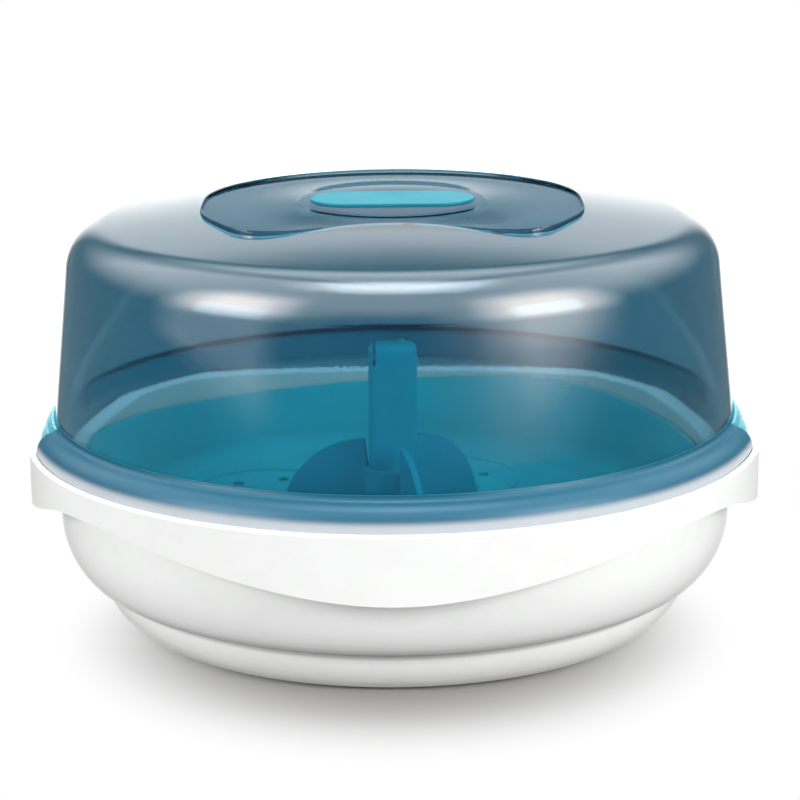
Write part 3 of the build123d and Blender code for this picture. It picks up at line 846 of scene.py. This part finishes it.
# %% Shaded wall inside the collar
collar_points = frame["nodes"]["rim_collar"].data.vertices
opening = min(point.co.xy.length for point in collar_points)
# Painted shade: the wall inside the collar is darkened near the opening, where the rack's shade
# falls.
wall_shades = ((0.15, (0.70, 0.64, 0.60)), (0.6, (1.0, 1.0, 1.0)))
height, reach = height_and_reach(white_collar)
shade_along(white_collar, reach, opening, opening + 0.002, wall_shades)
print("collar opening radius", round(opening, 4))

# %% [markdown]
# ## Clear lid
# The real lid is tinted blue-grey all through, with a polished surface, and its pressed panel
# hardly mirrors anything. Transmission on the Principled shader bends the light at both faces of
# the wall, as real plastic does. Its shadow would be black, because Cycles finds no lamp through
# bent glass, so shadow rays pass a plain transparent shader. A lower specular level has no effect
# on clear plastic, so the panel is given a finish that bends light very little instead.

# %% Clear lid finish
LID_TINT = (0.17, 0.34, 0.43)
PANEL_TINT = (0.28, 0.46, 0.56)
SHADOW_TINT = (0.95, 1.0, 1.0)


def clear_plastic(name, tint, roughness, bending):
    """Tinted clear plastic that lets most of the light through to what is inside."""
    wiped = [0.95 * part for part in tint]
    material = plastic(name, tint, wiped, roughness, roughness + 0.03, 0.06)
    nodes, links = material.node_tree.nodes, material.node_tree.links
    glassy = nodes["Principled BSDF"]
    glassy.inputs["IOR"].default_value = bending
    glassy.inputs["Transmission Weight"].default_value = 1.0
    passing = nodes.new("ShaderNodeBsdfTransparent")
    passing.inputs["Color"].default_value = (*SHADOW_TINT, 1)
    path = nodes.new("ShaderNodeLightPath")
    mix = nodes.new("ShaderNodeMixShader")
    links.new(path.outputs["Is Shadow Ray"], mix.inputs["Fac"])
    links.new(glassy.outputs["BSDF"], mix.inputs[1])
    links.new(passing.outputs["BSDF"], mix.inputs[2])
    links.new(mix.outputs["Shader"], nodes["Material Output"].inputs["Surface"])
    print("clear finish", name, "bends light by", bending)
    return material


clear_lid = clear_plastic("clear_lid", LID_TINT, 0.03, 1.5)
clear_panel = clear_plastic("clear_panel", PANEL_TINT, 0.05, 1.04)

# %% [markdown]
# ## Painted light on the rolled edge
# The gradient of the rolled edge runs with the height: almost white where it meets the collar, then
# deep blue, and a little lighter where it leaves for the wall. The blue is the lid's tint; the white
# is painted light, the collar seen through the edge, the lighter top a painted highlight, and the
# darker band under it painted shade. The ring's inner side can be seen through the dome, and there
# it is painted a pale teal that stands for white plastic seen through the tinted lid. A second mask,
# by distance and height, picks it out.

# %% Rolled edge: tint, painted light and painted shade
edge_tint_and_painted_light = plastic("edge_tint_and_painted_light", (1.0, 1.0, 1.0), (0.94, 0.94, 0.94), 0.3, 0.4, 0.2, shine=0.15)
# Painted light and shade on the lid's tint: stops from the collar's white seen through the edge,
# through the blue, to a darker line and a lighter top.
edge_tint_and_light_stops = (
    (0.18, (0.48, 0.52, 0.56)), (0.42, (0.028, 0.118, 0.19)), (0.80, (0.018, 0.11, 0.175)),
    (0.95, (0.008, 0.085, 0.14)), (1.0, (0.03, 0.16, 0.23)),
)
EDGE_SHADED_TO = EDGE + 0.0113
height, reach = height_and_reach(edge_tint_and_painted_light)
shade_along(edge_tint_and_painted_light, height, EDGE, EDGE_SHADED_TO, edge_tint_and_light_stops)

# %% Inner face of the rolled edge, painted pale teal as light seen through
# Painted light: the pale teal stands for white plastic seen through the tinted lid.
INNER_EDGE_PAINTED_LIGHT = (0.3, 0.6, 0.65)
nodes, links = edge_tint_and_painted_light.node_tree.nodes, edge_tint_and_painted_light.node_tree.links
near_axis = fade(reach, FOOT + 0.0003, FOOT + 0.0001)
inner_face = compute("MULTIPLY", near_axis, compute("LESS_THAN", height, ROLL_TOP))
shade = nodes.new("ShaderNodeMix")
shade.data_type = "RGBA"
links.new(inner_face, shade.inputs["Factor"])
edge_colour = nodes["Principled BSDF"].inputs["Base Color"]
links.new(edge_colour.links[0].from_socket, shade.inputs["A"])
shade.inputs["B"].default_value = (*INNER_EDGE_PAINTED_LIGHT, 1)
links.new(shade.outputs["Result"], edge_colour)
print(edge_tint_and_painted_light.name, "now has", len(nodes), "nodes")

# %% [markdown]
# ## Every piece gets its finish
# The lid has two finishes on one mesh: faces inside the panel's outline take the panel's. The
# border runs on the bead outside and at the wall's thickness inside, so that light enters and
# leaves through the same finish. The engineering pieces keep their shape and place, and their
# plain stand-in material is swapped for a finished one.

# %% Finish of the lid's pieces
lid_shell.data.materials.append(clear_lid)
lid_shell.data.materials.append(clear_panel)
lid_edge.data.materials.append(edge_tint_and_painted_light)
for face in lid_shell.data.polygons:
    middle = face.center
    border = BEAD_WIDTH * 0.7 if middle.z > PANEL - LID_WALL / 2 else LID_WALL + 0.0001
    if middle.xy.length < panel_edge(atan2(middle.y, middle.x)) + border:
        face.material_index = 1
print("panel faces", sum(face.material_index == 1 for face in lid_shell.data.polygons))

# %% Finishes on the engineering pieces
finishes = {
    "base_bowl": white_bowl,
    "rim_collar": white_collar,
    "lid_badge": badge_teal,
    "latch_left": teal_clip,
    "latch_right": teal_clip,
    "rack_tray": tray_teal,
    "divider_hub": hub_teal,
    "lift_column": column_teal,
}
for name, material in finishes.items():
    node = frame["nodes"][name]
    node.data.materials.clear()
    node.data.materials.append(material)
    print(name, "in", material.name, "with", len(node.data.polygons), "faces")

# %% [markdown] ## End
# The dressed object may not grow out of the engineering model's box.
